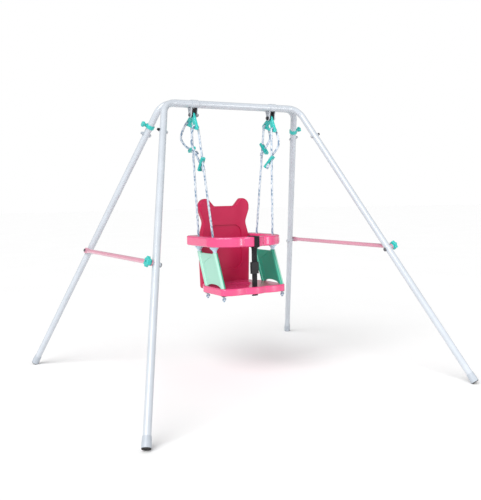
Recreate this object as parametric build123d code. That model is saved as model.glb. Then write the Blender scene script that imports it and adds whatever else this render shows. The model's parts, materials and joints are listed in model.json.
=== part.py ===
from build123d import *
import math
import os

# A toddler's garden swing: two bent top tubes side by side make the bar and the four
# leg stubs, a lower leg slides into each stub, and a bucket seat hangs from the bar on
# four adjustable ropes.  Millimetres.  +X runs along the bar, +Y is the seat's back,
# +Z is up, and the origin is on the ground under the middle of the bar.

# ---- frame: driving dimensions ---------------------------------------------------
HEIGHT = 1190.0            # ground to the top of the bar
TUBE_R = 14.0              # main tubes, outside radius
TUBE_WALL = 1.4
TUBE_SPACING = 28.5        # between the axes of the two top tubes
CORNER_X = 328.0           # bar axis and leg axis meet here
FOOT_X = 727.0             # leg axis meets the ground here
FOOT_Y = 705.0
BEND_R = 65.0              # centre line of the bend from bar to leg
SEAM_AT = 165.0            # end of the stub, measured down the leg from the corner
SWAGE_LENGTH = 60.0        # reduced end of the lower leg, inside the stub
SWAGE_R = 12.3
JOINT_AT = 150.0           # bolt through stub and leg
COLLAR_AT = 112.0          # clamp collar on each rear stub
SIDE_BAR_Z = 552.0
SIDE_BAR_R = 9.0

BAR_Z = HEIGHT - TUBE_R
TUBE_Y = TUBE_SPACING / 2

# ---- feet ------------------------------------------------------------------------
CAP_R = 16.5
CAP_LENGTH = 38.0
PAD_R = 15.8
PAD_THICK = 3.0
GROUND_FLAT = 1.2          # how much of the pad's lowest edge is cut flat

# ---- hangers ---------------------------------------------------------------------
HANGER_X = 192.5
BAND_WIDTH = 30.0
BAND_THICK = 2.5
CHEEK_THICK = 3.0
CHEEK_INNER = 12.0         # half the gap between the cheeks
PIVOT_Z = 1131.0
PIVOT_R = 4.0
PIVOT_BORE_R = 4.06        # running fit on the pivot bolt

# ---- ropes and their plates ------------------------------------------------------
ROPE_R = 5.0
ROPE_CLEAR_R = 5.5         # every hole that a rope runs through
SPREADER_HALF = 5.0        # half the thickness of the spreader plate
SPREADER_TILT = 16.0       # degrees, rear corner up
ROPE_TURN = 10.4           # half the distance between a rope's two strands at the plate
ADJUSTER_LENGTH = 62.0
ADJUSTER_HOLE = 12.0       # main strand's hole, from the adjuster's end
ADJUSTER_PITCH = 24.0      # between its two holes
FIN_PITCH = 5.4            # between the adjuster's fins
FIN_THICK = 2.4

# ---- seat ------------------------------------------------------------------------
SEAT_ROPE_X = 143.0        # ropes, guides and side panels
GUIDE_LEAN = 72.0          # the guides' tops stand this much further back
GUIDE_FOOT_Y = {"front": -150.0, "rear": -4.0}
BASE_Z = 375.0
BASE_TOP = 405.0
GUIDE_BEND_Z = 549.0
RING_Z = 575.0
RING_TOP = 617.0
RING_TRAVEL = 120.0
BACK_FRONT_Y = 90.0
BACK_REAR_Y = 122.0
SHELL = 3.0                # wall of the hollow seat base and backrest
RING_WALL = 4.0            # wall of the hollow safety ring
GUIDE_R = 7.5
SLEEVE_R = 10.2            # side panel's sleeve round a guide
CUP_R = 20.0
STRAP_WIDTH = 25.0
STRAP_Y = -160.0

SIDES = {"left": -1, "right": 1}
ENDS = {"front": -1, "rear": 1}
NODES = {}


def add(name, *shapes):
    """Keep the shapes as one node; several shapes stay separate solids."""
    solids = [s for shape in shapes for s in shape.solids()]
    NODES[name] = solids[0] if len(solids) == 1 else Compound(children=solids)


def cylinder(start, direction, r, length):
    """A cylinder from start along direction."""
    return extrude(Plane(origin=start, z_dir=direction) * Circle(r), length)


def hexagon(start, direction, r, length):
    return extrude(Plane(origin=start, z_dir=direction) * RegularPolygon(r, 6), length)


def unit(v):
    return v / v.length


def for_each_leg():
    for end, sy in ENDS.items():
        for side, sx in SIDES.items():
            yield f"{end}_{side}", sx, sy


# ---- leg geometry ----------------------------------------------------------------

def leg_frame(sx, sy):
    """Corner point, unit vector down the leg, unit vector outboard across the leg."""
    corner = Vector(sx * CORNER_X, sy * TUBE_Y, BAR_Z)
    down = unit(Vector(sx * FOOT_X, sy * FOOT_Y, 0) - corner)
    out = unit(Vector(-sx * down.Z, 0, sx * down.X))
    return corner, down, out


def leg_point(sx, sy, distance):
    corner, down, out = leg_frame(sx, sy)
    return corner + down * distance


def leg_distance_at(z):
    corner, down, out = leg_frame(1, 1)
    return (z - corner.Z) / down.Z


def pad_distance():
    """Where the middle of a foot pad's underside lies, down the leg."""
    corner, down, out = leg_frame(1, 1)
    tilt = math.acos(-down.Z)
    return leg_distance_at(PAD_R * math.sin(tilt) - GROUND_FLAT)


# ---- frame parts -----------------------------------------------------------------

def top_tube(sy):
    """One bent tube: leg stub, bar, leg stub."""
    stops = [leg_point(-1, sy, SEAM_AT), leg_point(-1, sy, 0),
             leg_point(1, sy, 0), leg_point(1, sy, SEAM_AT)]
    path = FilletPolyline(*stops, radius=BEND_R)
    section = Circle(TUBE_R) - Circle(TUBE_R - TUBE_WALL)
    tube = sweep(Plane(origin=path @ 0, z_dir=path % 0) * section, path=path)
    for sx in SIDES.values():
        corner, down, out = leg_frame(sx, sy)
        hole = leg_point(sx, sy, JOINT_AT) - out * 30
        tube -= cylinder(hole, out, 3.3, 60)
    return tube


def lower_leg(sx, sy):
    """Leg tube with a reduced upper end that slides into the stub."""
    corner, down, out = leg_frame(sx, sy)
    stop = pad_distance() - PAD_THICK - 2
    top = SEAM_AT - SWAGE_LENGTH
    body = cylinder(leg_point(sx, sy, SEAM_AT), down, TUBE_R, stop - SEAM_AT)
    body += cylinder(leg_point(sx, sy, top), down, SWAGE_R, SWAGE_LENGTH)
    body -= cylinder(leg_point(sx, sy, top), down, SWAGE_R - TUBE_WALL, SWAGE_LENGTH + 8)
    body -= cylinder(leg_point(sx, sy, SEAM_AT + 8), down, TUBE_R - TUBE_WALL, stop)
    body -= cylinder(leg_point(sx, sy, JOINT_AT) - out * 30, out, 3.3, 60)
    low = leg_point(sx, sy, leg_distance_at(SIDE_BAR_Z))
    body -= cylinder(low - out * 30, out, side_bolt_r(sy) + 0.3, 60)
    return body


def foot_cap(sx, sy):
    """Flared plastic sleeve on the end of a leg."""
    corner, down, out = leg_frame(sx, sy)
    bottom = pad_distance() - PAD_THICK
    top = bottom - CAP_LENGTH
    sleeve = loft([Plane(origin=leg_point(sx, sy, top), z_dir=down) * Circle(TUBE_R + 1.3),
                   Plane(origin=leg_point(sx, sy, bottom - 14), z_dir=down) * Circle(CAP_R)],
                  ruled=True)
    sleeve += cylinder(leg_point(sx, sy, bottom - 14), down, CAP_R, 14)
    return sleeve - cylinder(leg_point(sx, sy, top - 1), down, TUBE_R, CAP_LENGTH + 2)


def foot_pad(sx, sy):
    """Rubber disc with a plug up the tube; its lowest edge is cut level with the ground."""
    corner, down, out = leg_frame(sx, sy)
    bottom = pad_distance()
    pad = cylinder(leg_point(sx, sy, bottom - PAD_THICK), down, PAD_R, PAD_THICK)
    pad += cylinder(leg_point(sx, sy, bottom - 17), down, TUBE_R - TUBE_WALL - 0.1, 15)
    foot = leg_point(sx, sy, bottom)
    return pad - Pos(foot.X, foot.Y, -10) * Box(80, 80, 20)


def saddle(centre, out, down, r, inner, outer):
    """Spacer between a round tube and a flat head, hollowed to the tube."""
    block = cylinder(centre + out * inner, out, r, outer - inner)
    return block - cylinder(centre - down * 30, down, TUBE_R, 60)


def joint_hardware():
    """Bolt, dome nut and two saddles where each lower leg meets its stub."""
    bolts, saddles, nuts = [], [], {"front": [], "rear": []}
    for name, sx, sy in for_each_leg():
        corner, down, out = leg_frame(sx, sy)
        at = leg_point(sx, sy, JOINT_AT)
        seat_r = TUBE_R + 2.5
        bolt = cylinder(at - out * seat_r, out, 3.0, 2 * seat_r + 7)
        head = cylinder(at - out * (seat_r + 4.5), out, 5.6, 4.5)
        head = fillet(head.edges().sort_by_distance(at)[-1], 2.0)
        bolts.append(bolt + head)
        for way in (out, out * -1):
            spacer = saddle(at, way, down, 7.5, TUBE_R - 3, seat_r)
            saddles.append(spacer - cylinder(at, way, 3.1, 30))
        nut = hexagon(at + out * seat_r, out, 6.2, 5.5)
        nut += cylinder(at + out * (seat_r + 5.5), out, 4.8, 3.5)
        nut -= cylinder(at + out * seat_r, out, 3.0, 7)
        nuts[name.split("_")[0]].append(nut)
    add("joint_bolts", *bolts)
    add("joint_saddles", *saddles)
    for end, made in nuts.items():
        add(f"joint_cap_nuts_{end}", *made)


def lobed_disc(start, out, r, lobes, thickness):
    """A finger knob's head: a disc with rounded lobes and sharp rims."""
    plane = Plane(origin=start, z_dir=out)
    outline = Circle(r * 0.80)
    for i in range(lobes):
        angle = 360 / lobes * i
        outline += Rot(0, 0, angle) * Pos(r * 0.70, 0) * Circle(r * 0.30)
    return extrude(plane * outline, thickness)


def rims(disc, start, out):
    faces = disc.faces().sort_by(Axis(start, out))
    return faces[-1].edges() + faces[0].edges()


def collar_parts(side, sx):
    """Clamp collar round a rear stub, its stud and its finger knob."""
    corner, down, out = leg_frame(sx, 1)
    at = leg_point(sx, 1, COLLAR_AT)
    collar = cylinder(at - down * 8, down, TUBE_R + 4, 16)
    collar = fillet(collar.edges().filter_by(GeomType.CIRCLE), 1.5)
    collar += cylinder(at, out, 7.5, TUBE_R + 9)
    collar -= cylinder(at - down * 20, down, TUBE_R, 40)
    collar -= cylinder(at, out, 3.0, 40)
    stud = cylinder(at + out * (TUBE_R + 1), out, 3.0, 22)
    knob_at = at + out * (TUBE_R + 14)
    knob = lobed_disc(knob_at, out, 12.0, 5, 11.0)
    knob = chamfer(rims(knob, knob_at, out), 1.4)
    knob += cylinder(at + out * (TUBE_R + 10), out, 6.0, 5)
    knob -= cylinder(at + out * TUBE_R, out, 3.06, 24)
    add(f"leg_collar_{side}", collar)
    add(f"collar_knob_{side}", knob)
    return stud


# ---- side bars -------------------------------------------------------------------

def side_bolt_r(sy):
    """The front joints take an 8 mm knob bolt, the rear ones a 6 mm bolt."""
    return 4.0 if sy < 0 else 3.0


PLATE_IN = TUBE_R + 3.0     # flattened bar end, from the leg's axis
PLATE_OUT = PLATE_IN + 3.6


def side_bar(sx):
    """Round bar whose ends are pressed flat to lie against the legs."""
    at = {sy: leg_point(sx, sy, leg_distance_at(SIDE_BAR_Z)) for sy in (-1, 1)}
    out = leg_frame(sx, 1)[2]
    middle = (PLATE_IN + PLATE_OUT) / 2
    half = at[1].Y
    press, flat = 30.0, 30.0
    centre = Vector(at[1].X, 0, SIDE_BAR_Z) + out * middle

    def section(y, outline):
        plane = Plane(origin=(centre.X, y, centre.Z), x_dir=out, z_dir=(0, 1, 0))
        return plane * outline

    straight = half - flat - press
    bar = extrude(section(-straight, Circle(SIDE_BAR_R) - Circle(SIDE_BAR_R - 1.2)),
                  2 * straight)
    thick = PLATE_OUT - PLATE_IN
    for sy in (-1, 1):
        bar += loft([section(sy * straight, Circle(SIDE_BAR_R)),
                     section(sy * (half - flat), RectangleRounded(thick, 24, 1.7))])
        tab = Plane(origin=Vector(centre.X, sy * half, centre.Z) - out * (thick / 2),
                    x_dir=(0, sy, 0), z_dir=out)
        shape = Circle(12) + Pos(-flat / 2, 0) * Rectangle(flat, 24)
        bar += extrude(tab * shape, thick)
        bar -= cylinder(at[sy], out, side_bolt_r(sy) + 0.4, 40)
    return bar


def side_bar_hardware():
    """Knob bolts at the front, plain bolts and nuts at the rear, and their saddles."""
    knob_bolts, rear_bolts, rear_nuts, saddles = [], [], [], []
    for name, sx, sy in for_each_leg():
        corner, down, out = leg_frame(sx, sy)
        at = leg_point(sx, sy, leg_distance_at(SIDE_BAR_Z))
        r = side_bolt_r(sy)
        saddles.append(saddle(at, out, down, 9.0, TUBE_R - 3.5, PLATE_IN)
                       - cylinder(at, out, r + 0.3, 40))
        inner = saddle(at, out * -1, down, 9.0, TUBE_R - 3.5, PLATE_IN - 0.5)
        saddles.append(inner - cylinder(at, out * -1, r + 0.3, 40))
        head = at - out * (PLATE_IN - 0.5)
        dome = cylinder(head - out * 4.5, out, 2.1 * r, 4.5)
        dome = fillet(dome.edges().sort_by_distance(at)[-1], 2.5)
        if sy < 0:
            knob_bolts.append(dome + cylinder(head, out, r, PLATE_IN + 34))
            knob_at = at + out * (PLATE_OUT + 7)
            knob = lobed_disc(knob_at, out, 20.0, 6, 14.0)
            knob = fillet(rims(knob, knob_at, out), 3.0)
            knob += cylinder(at + out * (PLATE_OUT + 0.3), out, 10.5, 8)
            knob -= cylinder(at + out * PLATE_IN, out, r + 0.06, 34)
            add(f"side_knob_{'left' if sx < 0 else 'right'}", knob)
        else:
            rear_bolts.append(dome + cylinder(head, out, r, PLATE_IN + PLATE_OUT + 6))
            nut = hexagon(at + out * PLATE_OUT, out, 6.2, 5.5)
            rear_nuts.append(nut - cylinder(at, out, r, 60))
    add("side_bar_saddles", *saddles)
    add("side_bar_knob_bolts", *knob_bolts)
    add("side_bar_rear_bolts", *rear_bolts)
    add("side_bar_rear_nuts", *rear_nuts)


# ---- hangers ---------------------------------------------------------------------

def yz_plane(x):
    """Sketch plane across the bar: local x is row Y, local y is row Z."""
    return Plane(origin=(x, 0, 0), x_dir=(0, 1, 0), z_dir=(1, 0, 0))


def cheek_outline(top_half, low_r, top_z, low_z):
    """A tapering ear with a rounded lower end."""
    return make_hull([Line((-top_half, top_z), (top_half, top_z)),
                      CenterArc((0, low_z), low_r, 0, 360)])


def hanger_bracket(sx):
    """Band round both top tubes with two cheeks welded under it."""
    x = sx * HANGER_X
    low = BAR_Z - TUBE_R - 0.1
    slot = SlotCenterToCenter(TUBE_SPACING, 2 * (TUBE_R + 0.1))
    band = SlotCenterToCenter(TUBE_SPACING, 2 * (TUBE_R + 0.1 + BAND_THICK))
    ring = Pos(0, BAR_Z) * (band - slot)
    bracket = extrude(yz_plane(x - BAND_WIDTH / 2) * ring, BAND_WIDTH)
    ear = cheek_outline(19, 11, low - BAND_THICK + 1.5, PIVOT_Z)
    for start in (-CHEEK_INNER - CHEEK_THICK, CHEEK_INNER):
        bracket += extrude(yz_plane(x + start) * ear, CHEEK_THICK)
    bore = cylinder(Vector(x - 30, 0, PIVOT_Z), Vector(1, 0, 0), PIVOT_R + 0.1, 60)
    return bracket - bore


def hanger_liners(sx):
    """Nylon wear blocks between the cheeks and the spreader plate."""
    x = sx * HANGER_X
    low = BAR_Z - TUBE_R - 0.1 - BAND_THICK - 0.2
    ear = cheek_outline(15, 9.5, low, PIVOT_Z)
    blocks = []
    for start in (-CHEEK_INNER, SPREADER_HALF + 0.5):
        block = extrude(yz_plane(x + start) * ear, CHEEK_INNER - SPREADER_HALF - 0.5)
        bore = cylinder(Vector(x - 30, 0, PIVOT_Z), Vector(1, 0, 0), PIVOT_R + 0.1, 60)
        blocks.append(block - bore)
    return blocks


def pivot_bolt(sx):
    """Bolt across the cheeks, head outboard."""
    out = Vector(sx, 0, 0)
    outer = CHEEK_INNER + CHEEK_THICK
    start = Vector(sx * HANGER_X, 0, PIVOT_Z) + out * outer
    head = fillet(hexagon(start, out, 7.4, 5).edges().sort_by(Axis(start, out))[-6:], 0.8)
    return head + cylinder(start, out * -1, PIVOT_R, 2 * outer + 9)


def pivot_nut(sx):
    """Lock nut and washer on the inboard end."""
    inward = Vector(-sx, 0, 0)
    start = Vector(sx * HANGER_X, 0, PIVOT_Z) + inward * (CHEEK_INNER + CHEEK_THICK)
    nut = cylinder(start, inward, 8.5, 1.4) + hexagon(start + inward * 1.4, inward, 7.4, 6)
    return nut - cylinder(start, inward, PIVOT_R, 30)


# ---- ropes -----------------------------------------------------------------------
# Every route is for the right-hand side; the left one has its x values negated.
# A rope is knotted under the seat, rises through the base and its guide, passes the
# safety ring, turns over the spreader plate, comes back down slack to its adjuster and
# ends in a knot.

def spreader_hole(sy):
    """Middle of a rope hole in the tilted spreader plate, as (y, z)."""
    tilt = math.radians(SPREADER_TILT)
    y, z = sy * 33.0, -38.0
    return (y * math.cos(tilt) - z * math.sin(tilt),
            PIVOT_Z + y * math.sin(tilt) + z * math.cos(tilt))


# Bends of each slack strand between the spreader plate and its adjuster.
SLACK_ROUTES = {
    ("left", "front"): [(207, -14, 1050), (205, 0, 1005), (186, -16, 955)],
    ("left", "rear"): [(206, 78, 1074), (207, 103, 1040), (192, 86, 1006)],
    ("right", "front"): [(205, -36, 1050), (205, -50, 1005), (176.5, -11, 952)],
    ("right", "rear"): [(206, 36, 1072), (207, 26, 1045), (190.4, 27.1, 1016.6)],
}
# Height of the main strand's hole in each adjuster, and the way the adjuster hangs:
# from the main strand's hole to the slack strand's.
ADJUSTERS = {
    ("left", "front"): (940, (0, 0.58, -0.81)),
    ("left", "rear"): (994, (-0.20, 0.96, -0.15)),
    ("right", "front"): (950, (-0.31, 0.60, -0.74)),
    ("right", "rear"): (1012, (0, -0.70, -0.71)),
}
SLACK_END = 35.0            # the slack strand ends this far past its hole
KNOT_TAIL = 12.0            # from a knot's middle to its rope's end


def main_strand(end):
    """Lower and upper point of the taut strand between guide and spreader plate."""
    y, z = spreader_hole(ENDS[end])
    low = Vector(SEAT_ROPE_X, GUIDE_FOOT_Y[end] + GUIDE_LEAN, GUIDE_BEND_Z)
    return low, Vector(HANGER_X - ROPE_TURN, y, z)


def main_at(end, z):
    """The taut strand's point at height z."""
    low, high = main_strand(end)
    return low + (high - low) * ((z - low.Z) / (high.Z - low.Z))


def adjuster_line(side, end):
    """The main strand's hole in an adjuster, and the unit vector along the adjuster."""
    z, direction = ADJUSTERS[side, end]
    return main_at(end, z), unit(Vector(*direction))


def slack_hole(side, end):
    """Where the slack strand passes its adjuster, and its direction there."""
    main, length_dir = adjuster_line(side, end)
    hole = main + length_dir * ADJUSTER_PITCH
    return hole, unit(hole - Vector(*SLACK_ROUTES[side, end][-1]))


def rope_points(side, end):
    foot_y = GUIDE_FOOT_Y[end]
    low, high = main_strand(end)
    hole, along = slack_hole(side, end)
    points = [Vector(SEAT_ROPE_X, foot_y, BASE_Z - 12.5 - KNOT_TAIL),
              Vector(SEAT_ROPE_X, foot_y, BASE_Z + 18), low, high,
              high + Vector(2 * ROPE_TURN, 0, 0)]
    points += [Vector(*p) for p in SLACK_ROUTES[side, end]]
    points.append(hole + along * SLACK_END)
    return points


def corner_radii(points):
    """0.45 of the shorter run over the tangent of half the turn; the plate's own
    radius where the rope turns over the plate; the guide's radius at the guide."""
    radii = []
    for i in range(1, len(points) - 1):
        before, after = points[i] - points[i - 1], points[i + 1] - points[i]
        turn = math.radians(before.get_angle(after))
        radii.append(0.45 * min(before.length, after.length) / math.tan(turn / 2))
    radii[0] = min(radii[0], 40.0)
    radii[1] = GUIDE_BEND_R
    radii[2] = radii[3] = min(ROPE_TURN - 0.3, radii[2], radii[3])
    return radii


GUIDE_BEND_R = 50.0


def on_side(side, points):
    return [Vector(SIDES[side] * p.X, p.Y, p.Z) for p in points]


def swept(points, radii, r):
    path = FilletPolyline(*points, radius=radii)
    return sweep(Plane(origin=path @ 0, z_dir=path % 0) * Circle(r), path=path), path


def rope(side, end):
    """Adds one rope and returns its two knots."""
    points = rope_points(side, end)
    radii = corner_radii(points)
    solid, path = swept(on_side(side, points), radii, ROPE_R)
    expected = math.pi * ROPE_R ** 2 * path.length
    print(f"rope {side} {end}: length {path.length:.0f}, volume / expected "
          f"{solid.volume / expected:.3f}, radii {[round(r, 1) for r in radii]}")
    add(f"rope_{end}_{side}", solid)
    first, last = path % 0, path % 1
    return [knot(path @ 0 + first * KNOT_TAIL, first, 10.0),
            knot(path @ 1 - last * KNOT_TAIL, last, 9.0)]


def knot(at, along, r):
    """The lump that a rope's end is tied into, bored for the rope."""
    ball = Plane(origin=at, z_dir=along) * Sphere(r)
    return ball - cylinder(at - along * 2 * r, along, ROPE_R + 0.05, 4 * r)


def seat_washer(side, end):
    x, y = SIDES[side] * SEAT_ROPE_X, GUIDE_FOOT_Y[end]
    start = Vector(x, y, BASE_Z - 2)
    up = Vector(0, 0, 1)
    return cylinder(start, up, 11, 2) - cylinder(start, up, ROPE_CLEAR_R, 2)


def spreader_plate(side):
    """Tilted triangular plate: pivot bore at the top, a rope hole near each lower corner."""
    outline = make_hull([CenterArc((0, 0), 11.5, 0, 360),
                         CenterArc((-48, -46), 8, 0, 360),
                         CenterArc((48, -46), 8, 0, 360)])
    window = make_hull([CenterArc((0, -20), 3.5, 0, 360), CenterArc((-13, -40), 3.5, 0, 360),
                        CenterArc((13, -40), 3.5, 0, 360)])
    x = SIDES[side] * HANGER_X
    plane = Plane(origin=(x - SPREADER_HALF, 0, PIVOT_Z), x_dir=(0, 1, 0), z_dir=(1, 0, 0))
    sketch = Rot(0, 0, SPREADER_TILT) * (outline - window)
    plate = extrude(plane * sketch, 2 * SPREADER_HALF)
    plate = fillet(outer_edges(plate, x), 1.8)
    x_axis = Vector(1, 0, 0)
    plate -= cylinder(Vector(x - 20, 0, PIVOT_Z), x_axis, PIVOT_BORE_R, 40)
    for end, sy in ENDS.items():
        y, z = spreader_hole(sy)
        plate -= cylinder(Vector(x - 20, y, z + 0.5), x_axis, 6.0, 40)
        points = rope_points(side, end)[2:6]
        radii = corner_radii(rope_points(side, end))[2:4]
        groove, path = swept(on_side(side, points), radii, ROPE_CLEAR_R)
        plate -= groove
    return plate


def outer_edges(plate, x):
    """The rim edges on the plate's two broad faces."""
    faces = plate.faces().filter_by(Plane.YZ)
    edges = ShapeList()
    for face in faces:
        edges += face.outer_wire().edges()
    return edges


def adjuster(side, end):
    """Finned bar that grips a rope: one hole each for the main and the slack strand."""
    main, length_dir = adjuster_line(side, end)
    low, high = main_strand(end)
    main, low, high = on_side(side, [main, low, high])
    length_dir = on_side(side, [length_dir])[0]
    strand = unit(high - low)
    width_dir = unit(strand.cross(length_dir))
    start = main - length_dir * ADJUSTER_HOLE

    def block(at, width, depth, corner, length):
        plane = Plane(origin=start + length_dir * at, x_dir=width_dir, z_dir=length_dir)
        return extrude(plane * RectangleRounded(width, depth, corner), length)

    bar = block(1.0, 15.5, 10.0, 3.0, ADJUSTER_LENGTH - 2.0)
    count = round((ADJUSTER_LENGTH - FIN_THICK) / FIN_PITCH)
    step = (ADJUSTER_LENGTH - FIN_THICK) / count
    for i in range(count + 1):
        bar += block(i * step, 20.0, 14.0, 4.5, FIN_THICK)
    bar -= cylinder(main - strand * 40, strand, ROPE_CLEAR_R, 80)
    points = rope_points(side, end)
    channel, path = swept(on_side(side, points[-3:]), corner_radii(points)[-1:], ROPE_CLEAR_R)
    return bar - channel


# ---- seat ------------------------------------------------------------------------

def mirrored_outline(*right_half):
    """A closed outline from its right half, which starts and ends on x = 0."""
    edges = list(right_half) + [mirror(e, about=Plane.YZ) for e in right_half]
    return make_face(edges)


def rounded_outline(*right_half):
    """A closed outline of straight lines and rounded corners, mirrored in x = 0.

    Each corner of the right half is (x, y, radius).
    """
    left_half = [(-x, y, r) for x, y, r in reversed(right_half)]
    corners = list(right_half) + left_half
    outline = FilletPolyline(*[(x, y) for x, y, r in corners], close=True,
                             radius=[r for x, y, r in corners])
    return make_face(outline.edges())


def eased_corners(outline, r, behind=0.0):
    """Round the outline's corners off the centre line, those in front of y = behind."""
    corners = [v for v in outline.vertices() if abs(v.X) > 1 and v.Y < behind]
    return fillet(corners, r)


def scalloped_front(y, depth, drop, corner, side_x, side_y, inset=0.0):
    """Half of the lobed front edge shared by the ring and the base.

    The middle lobe's creases lie depth behind its front, and drop is the bulge of the
    next lobe, which ends in the crease at corner.
    """
    y, side_x = y + inset, side_x - inset
    cx, cy = corner[0] - 0.7 * inset, corner[1] + inset
    corner, crease = (cx, cy), (47.5, y + depth)
    return [ThreePointArc((0, y), (24, y + 0.25 * depth), crease),
            ThreePointArc(crease, ((47.5 + cx) / 2, (y + depth + cy) / 2 - drop), corner),
            ThreePointArc(corner, (side_x - (side_x - cx) * 0.35, cy + (side_y - cy) * 0.38),
                          (side_x, side_y))]


def ring_outline(inset=0.0):
    side_x, rear_y, r = 176 - inset, 155 - inset, 38 - inset
    outline = mirrored_outline(
        *scalloped_front(-182, 20, 11, (126, -139), 176, -64, inset),
        Line((side_x, -64), (side_x, rear_y - r)),
        RadiusArc((side_x, rear_y - r), (side_x - r, rear_y), -r),
        Line((side_x - r, rear_y), (0, rear_y)))
    return eased_corners(outline, 6)


def ring_opening(grow=0.0):
    return rounded_outline((129 + grow, 126 + grow, 10 + grow),
                           (129 + grow, -128 - grow, 40 + grow))


def rope_slot(side, end, grow=0.0):
    """Slot in the ring that lets it slide up along a leaning rope."""
    mid_low = main_at(end, (RING_Z + RING_TOP) / 2)
    mid_high = main_at(end, (RING_Z + RING_TOP) / 2 + RING_TRAVEL)
    sx = SIDES[side]
    return make_hull([CenterArc((sx * p.X, p.Y), 8.5 + grow, 0, 360)
                      for p in (mid_low, mid_high)])


def safety_ring():
    """Hollow ring round the child, with four rope slots."""
    plan = ring_outline() - ring_opening()
    ring = extrude(Plane.XY.offset(RING_Z) * plan, RING_TOP - RING_Z)
    ring = fillet(ring.faces().filter_by(Plane.XY).edges(), 7.0)
    inner = ring_outline(RING_WALL) - ring_opening(RING_WALL)
    cavity = extrude(Plane.XY.offset(RING_Z + RING_WALL) * inner,
                     RING_TOP - RING_Z - 2 * RING_WALL)
    slots = []
    for side in SIDES:
        for end in ENDS:
            boss = extrude(Plane.XY.offset(RING_Z) * rope_slot(side, end, SHELL), 60)
            cavity -= boss
            slots.append(extrude(Plane.XY.offset(RING_Z - 5) * rope_slot(side, end), 60))
    ring -= cavity
    for slot in slots:
        ring -= slot
    for sx in SIDES.values():
        ring -= cylinder(Vector(sx * 152, 0, RING_Z - 5), Vector(0, 0, 1), 3, 12)
    return ring


def base_outline(inset=0.0):
    side_x, rear_x, rear_y = 157 - inset, 122 - inset, BACK_FRONT_Y - 0.5 - inset
    outline = mirrored_outline(
        *scalloped_front(-182, 12, 7, (142, -166), 157, -144, inset),
        Line((side_x, -144), (side_x, -8)),
        ThreePointArc((side_x, -8), (149 - inset, 30), (rear_x, 54 - inset)),
        Line((rear_x, 54 - inset), (rear_x, rear_y)),
        Line((rear_x, rear_y), (0, rear_y)))
    return eased_corners(outline, 5, behind=100)


def seat_base():
    """Hollow seat board with a dished top, rope holes, a strap slot and drain holes."""
    base = extrude(Plane.XY.offset(BASE_Z) * base_outline(), BASE_TOP - BASE_Z)
    base = fillet(base.faces().filter_by(Plane.XY).edges(), 5.0)
    dish = Pos(0, -45, BASE_TOP + 394) * Sphere(400)
    base -= dish & Pos(0, -45, BASE_TOP) * Box(232, 190, 30)
    inner = base_outline(SHELL)
    cavity = extrude(Plane.XY.offset(BASE_Z + SHELL) * inner, BASE_TOP - BASE_Z - SHELL - 11)
    up = Vector(0, 0, 1)
    holes = []
    for side, sx in SIDES.items():
        for end in ENDS:
            at = Vector(sx * SEAT_ROPE_X, GUIDE_FOOT_Y[end], BASE_Z)
            cavity -= cylinder(at, up, 12.5, 40)
            route = on_side(side, rope_points(side, end)[:3])
            channel, path = swept(route, [GUIDE_BEND_R - 10], ROPE_CLEAR_R + 0.5)
            holes.append(channel)
    drains = [(sx * 32, y) for sx in SIDES.values() for y in (-95, -45, 5)]
    for x, y in drains:
        holes.append(cylinder(Vector(x, y, BASE_Z - 5), up, 4, 50))
    strap_slot = Pos(0, STRAP_Y, BASE_Z) * Box(STRAP_WIDTH + 2, 5, 80)
    cavity -= Pos(0, STRAP_Y, BASE_Z) * Box(STRAP_WIDTH + 8, 11, 80)
    for x in SCREW_X:
        cavity -= Pos(x, BACK_FRONT_Y - 18, BASE_Z + 15) * Box(12, 34, 40)
        at = Vector(x, BACK_FRONT_Y - 26, SCREW_Z)
        holes.append(cylinder(at, Vector(0, 1, 0), 2.5, 60))
    base -= cavity
    base -= strap_slot
    for hole in holes:
        base -= hole
    return base


SCREW_X = (-90.0, -30.0, 30.0, 90.0)
SCREW_Z = 391.0


def back_outline(inset=0.0):
    """Two ears with a wide dip between them, a waist, and a body as wide as the ears."""
    return rounded_outline((53, 744 - inset, 14 + inset), (83, 778 - inset, 18 - inset),
                           (125 - inset, 778 - inset, 34 - inset), (125.5 - inset, 728, 30),
                           (105 - inset, 672, 40), (125.5 - inset, 600, 60),
                           (119 - inset, 378 + inset, 12 - inset))


def backrest():
    """Hollow backrest with a recess in its front."""
    plane = Plane(origin=(0, BACK_REAR_Y, 0), x_dir=(1, 0, 0), z_dir=(0, -1, 0))
    depth = BACK_REAR_Y - BACK_FRONT_Y
    back = extrude(plane * back_outline(), depth)
    back = fillet(back.faces().filter_by(Plane.XZ).edges(), 6.0)
    panel = Pos(0, 560) * RectangleRounded(164, 200, 40)
    front = Plane(origin=(0, BACK_FRONT_Y, 0), x_dir=(1, 0, 0), z_dir=(0, -1, 0))
    back -= extrude(front * panel, -5)
    inner = back_outline(SHELL)
    cavity_plane = Plane(origin=(0, BACK_REAR_Y - SHELL, 0), x_dir=(1, 0, 0),
                         z_dir=(0, -1, 0))
    cavity = extrude(cavity_plane * inner, depth - 2 * SHELL - 5)
    y_axis = Vector(0, 1, 0)
    cuts = []
    for x in SCREW_X:
        at = Vector(x, BACK_FRONT_Y, SCREW_Z)
        cavity -= cylinder(at, y_axis, 7.5, depth)
        cuts.append(cylinder(at - y_axis * 5, y_axis, 2.5, depth + 10))
        cuts.append(cylinder(at + y_axis * (depth - 4), y_axis, 5.2, 10))
    for sx in SIDES.values():
        middle = (BACK_FRONT_Y + BACK_REAR_Y) / 2
        cuts.append(cylinder(Vector(sx * 60, middle, 370), Vector(0, 0, 1), 3, 16))
    back -= cavity
    for cut in cuts:
        back -= cut
    return back


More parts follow.
